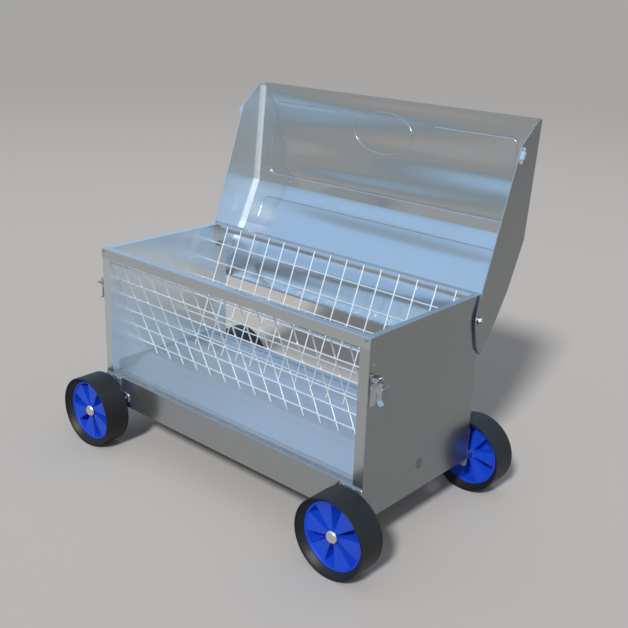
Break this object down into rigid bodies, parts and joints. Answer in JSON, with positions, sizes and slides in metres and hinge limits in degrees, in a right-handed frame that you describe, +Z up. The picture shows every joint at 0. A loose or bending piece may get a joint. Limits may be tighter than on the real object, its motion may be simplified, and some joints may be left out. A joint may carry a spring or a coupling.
{
  "type": "wheeled hay rack",
  "caption": "Wheeled hay rack of folded galvanised sheet with sloping wire racks over a trough, a hinged roof lid shown open, side latches and blue-hubbed wheels.",
  "frame": {"origin": "on the ground, midway between the wheels, below the middle of the body", "axes": "+X along the length to the right as seen from the front, +Y to the back where the lid is hinged, +Z up"},
  "size_m": [1.429, 0.937, 1.2543],
  "materials": {
    "galvanised_sheet": "bright galvanised",
    "galvanised_wire": "bright galvanised",
    "zinc_hardware": "bright zinc plated",
    "tyre_rubber": "smooth satin",
    "hub_plastic": "moulded, semi-gloss",
    "bush_plastic": "plain"
  },
  "bodies": {
    "rack": {"left_end_panel": "galvanised_sheet", "right_end_panel": "galvanised_sheet", "front_top_rail": "galvanised_sheet", "rear_top_rail": "galvanised_sheet", "front_skirt": "galvanised_sheet", "rear_skirt": "galvanised_sheet", "floor_pan": "galvanised_sheet", "front_left_axle_plate": "galvanised_sheet", "front_right_axle_plate": "galvanised_sheet", "rear_left_axle_plate": "galvanised_sheet", "rear_right_axle_plate": "galvanised_sheet", "front_rack": "galvanised_wire", "rear_rack": "galvanised_wire", "left_axle": "zinc_hardware", "right_axle": "zinc_hardware", "axle_spacers": "zinc_hardware", "axle_washers": "zinc_hardware", "axle_caps": "zinc_hardware", "rail_bolts": "zinc_hardware", "rail_nuts": "zinc_hardware", "plate_bolts": "zinc_hardware", "plate_nuts": "zinc_hardware", "pivot_bolts": "zinc_hardware", "pivot_nuts": "zinc_hardware", "pivot_spacers": "zinc_hardware", "pivot_washers": "zinc_hardware", "latch_pins": "zinc_hardware", "latch_rivets": "zinc_hardware", "left_latch_base": "zinc_hardware", "right_latch_base": "zinc_hardware"},
    "lid": {"lid_roof": "galvanised_sheet", "left_lid_end": "galvanised_sheet", "right_lid_end": "galvanised_sheet", "left_keeper": "zinc_hardware", "right_keeper": "zinc_hardware", "keeper_rivets": "zinc_hardware"},
    "front_left_wheel": {"front_left_tyre": "tyre_rubber", "front_left_hub": "hub_plastic", "front_left_bush": "bush_plastic"},
    "front_right_wheel": {"front_right_tyre": "tyre_rubber", "front_right_hub": "hub_plastic", "front_right_bush": "bush_plastic"},
    "rear_left_wheel": {"rear_left_tyre": "tyre_rubber", "rear_left_hub": "hub_plastic", "rear_left_bush": "bush_plastic"},
    "rear_right_wheel": {"rear_right_tyre": "tyre_rubber", "rear_right_hub": "hub_plastic", "rear_right_bush": "bush_plastic"},
    "left_latch_lever": {"left_latch_lever": "zinc_hardware"},
    "left_latch_bail": {"left_latch_bail": "zinc_hardware"},
    "right_latch_lever": {"right_latch_lever": "zinc_hardware"},
    "right_latch_bail": {"right_latch_bail": "zinc_hardware"}
  },
  "joints": [
    {"name": "lid_hinge", "type": "hinge", "parent": "rack", "child": "lid", "pos_m": [0, 0.27, 0.64], "axis": [1, 0, 0], "range_deg": [0, 107.5]},
    {"name": "front_left_wheel_spin", "type": "hinge", "parent": "rack", "child": "front_left_wheel", "pos_m": [-0.5855, -0.3575, 0.129], "axis": [0, 1, 0], "continuous": true},
    {"name": "front_right_wheel_spin", "type": "hinge", "parent": "rack", "child": "front_right_wheel", "pos_m": [0.5855, -0.3575, 0.129], "axis": [0, 1, 0], "continuous": true},
    {"name": "rear_left_wheel_spin", "type": "hinge", "parent": "rack", "child": "rear_left_wheel", "pos_m": [-0.5855, 0.3575, 0.129], "axis": [0, 1, 0], "continuous": true},
    {"name": "rear_right_wheel_spin", "type": "hinge", "parent": "rack", "child": "rear_right_wheel", "pos_m": [0.5855, 0.3575, 0.129], "axis": [0, 1, 0], "continuous": true},
    {"name": "left_lever_hinge", "type": "hinge", "parent": "rack", "child": "left_latch_lever", "pos_m": [-0.626, -0.262, 0.601], "axis": [0, 1, 0], "range_deg": [0, 100]},
    {"name": "left_bail_hinge", "type": "hinge", "parent": "left_latch_lever", "child": "left_latch_bail", "pos_m": [-0.621, -0.262, 0.591], "axis": [0, -1, 0], "range_deg": [-93.3, 0]},
    {"name": "right_lever_hinge", "type": "hinge", "parent": "rack", "child": "right_latch_lever", "pos_m": [0.626, -0.262, 0.601], "axis": [0, -1, 0], "range_deg": [0, 100]},
    {"name": "right_bail_hinge", "type": "hinge", "parent": "right_latch_lever", "child": "right_latch_bail", "pos_m": [0.621, -0.262, 0.591], "axis": [0, 1, 0], "range_deg": [-93.3, 0]}
  ]
}
